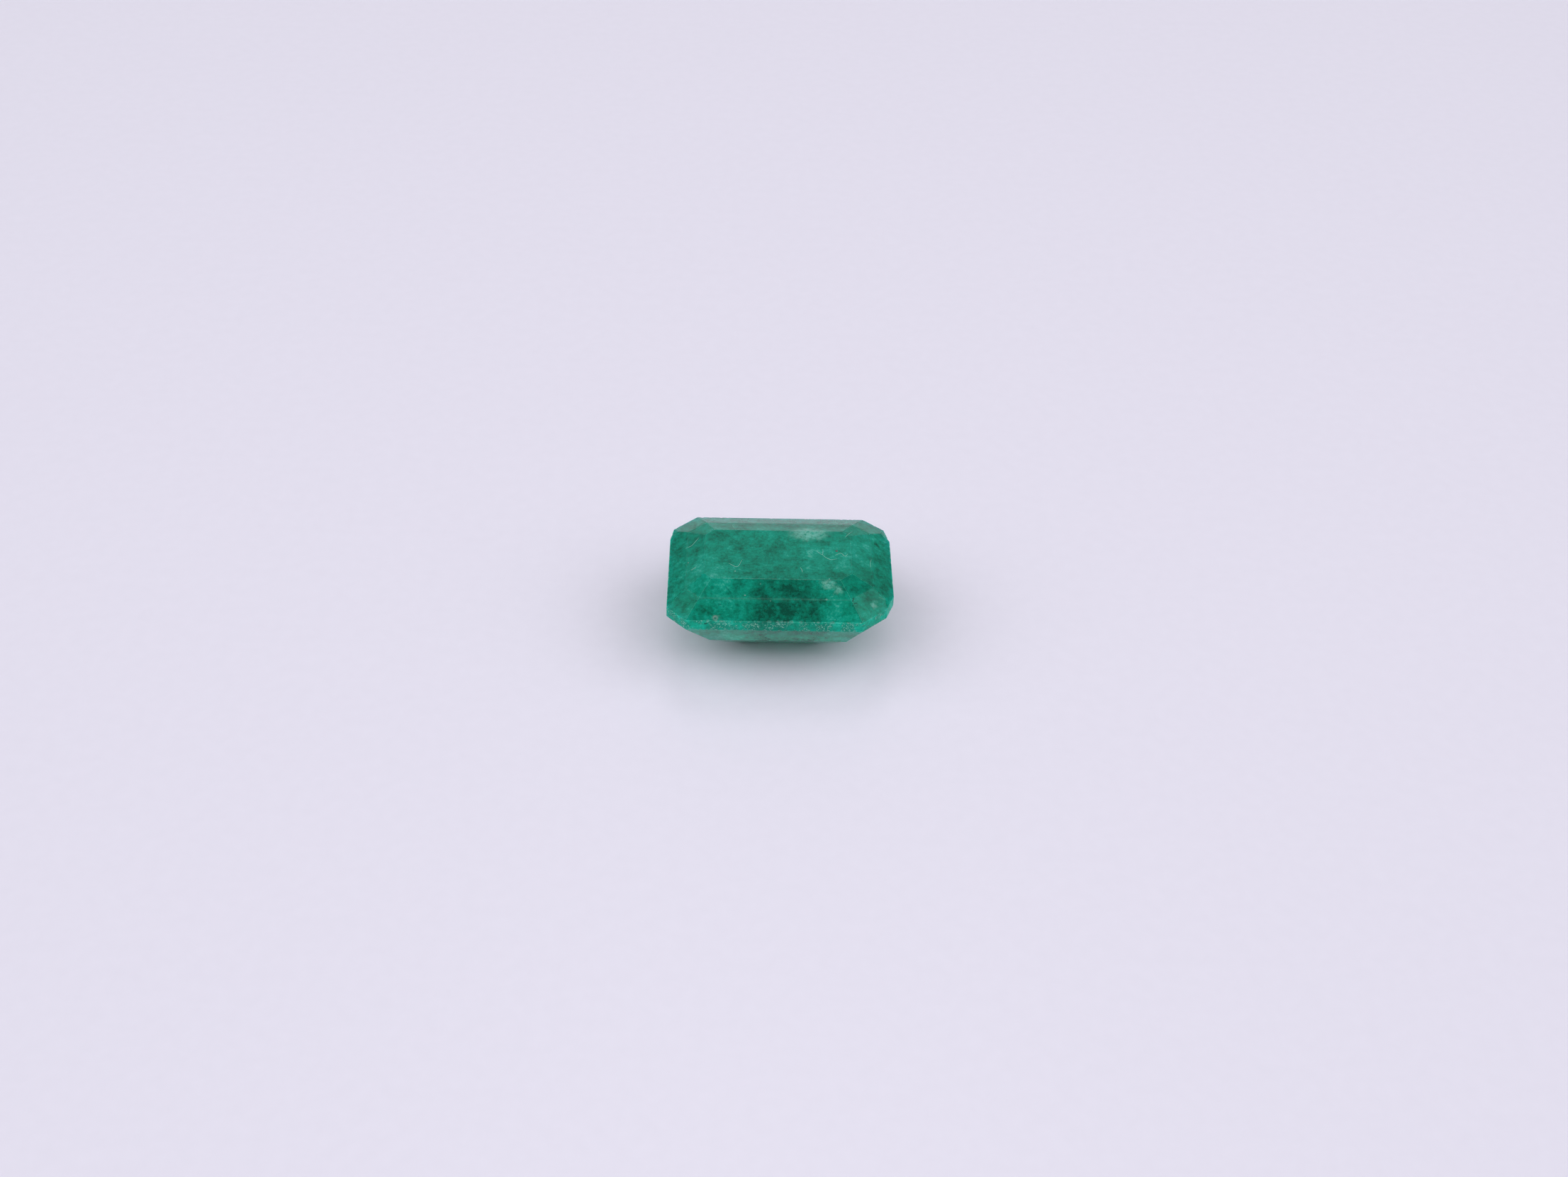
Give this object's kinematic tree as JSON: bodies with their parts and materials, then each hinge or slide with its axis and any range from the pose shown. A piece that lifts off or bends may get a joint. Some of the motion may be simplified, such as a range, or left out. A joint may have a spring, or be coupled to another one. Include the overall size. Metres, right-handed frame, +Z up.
{
  "type": "step-cut emerald gemstone",
  "caption": "Cut and polished green emerald, octagonal step cut with table, stepped crown, thick girdle and stepped pavilion, cloudy with inclusions, standing on its small flat culet.",
  "frame": {"origin": "bottom centre of the stone's box, on the plane of the culet, which is the surface that the stone stands on", "axes": "+X along the length, +Y along the width away from the viewer of the picture, +Z up from the culet to the table"},
  "size_m": [0.012, 0.0088, 0.0054],
  "materials": {
    "emerald": "polished facets over a cloudy, included body, with a frosted girdle"
  },
  "bodies": {
    "root": {"emerald": "emerald"}
  },
  "joints": []
}
